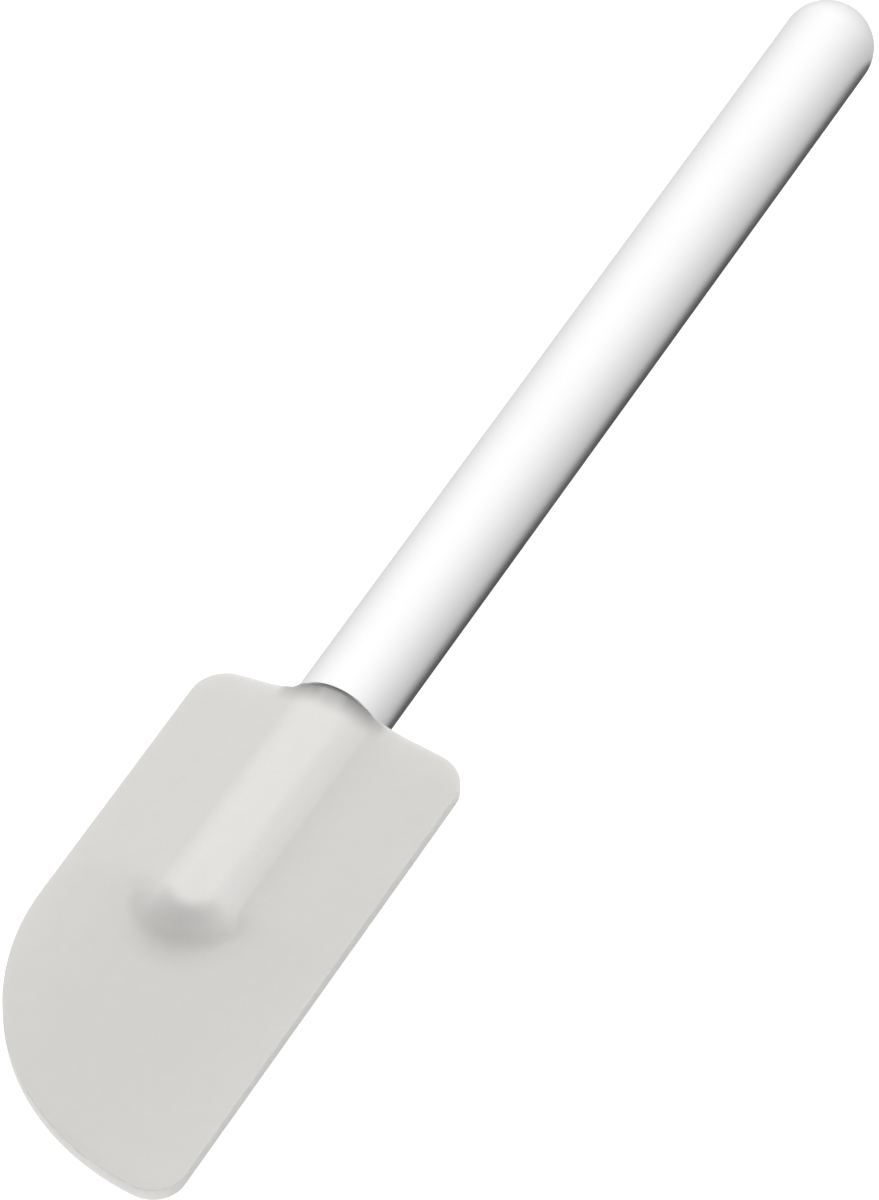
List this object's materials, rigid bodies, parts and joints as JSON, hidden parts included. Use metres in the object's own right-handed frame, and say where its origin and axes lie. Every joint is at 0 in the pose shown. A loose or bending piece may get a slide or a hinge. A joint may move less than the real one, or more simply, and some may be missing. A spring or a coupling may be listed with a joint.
{
  "type": "spatula",
  "caption": "Kitchen spatula with a round tubular steel handle and a soft tapered silicone blade that has one straight edge and one long curved corner for scraping bowls.",
  "frame": {"origin": "middle of the part's length and width, on the plane of the handle's lowest line", "axes": "+Y along the handle towards its rounded end, +Z out of the blade's upper face, +X towards the blade's straight edge"},
  "size_m": [0.0536, 0.3152, 0.018],
  "materials": {
    "silicone": "soft matte, pale grey-white silicone",
    "nylon": "natural moulded nylon",
    "steel": "satin stainless steel"
  },
  "bodies": {
    "handle": {"handle": "steel", "core": "nylon"},
    "blade": {"blade": "silicone"}
  },
  "joints": [
    {"name": "blade_pull_off", "type": "slide", "parent": "handle", "child": "blade", "axis": [0, -1, 0], "range_m": [0, 0.06]}
  ]
}
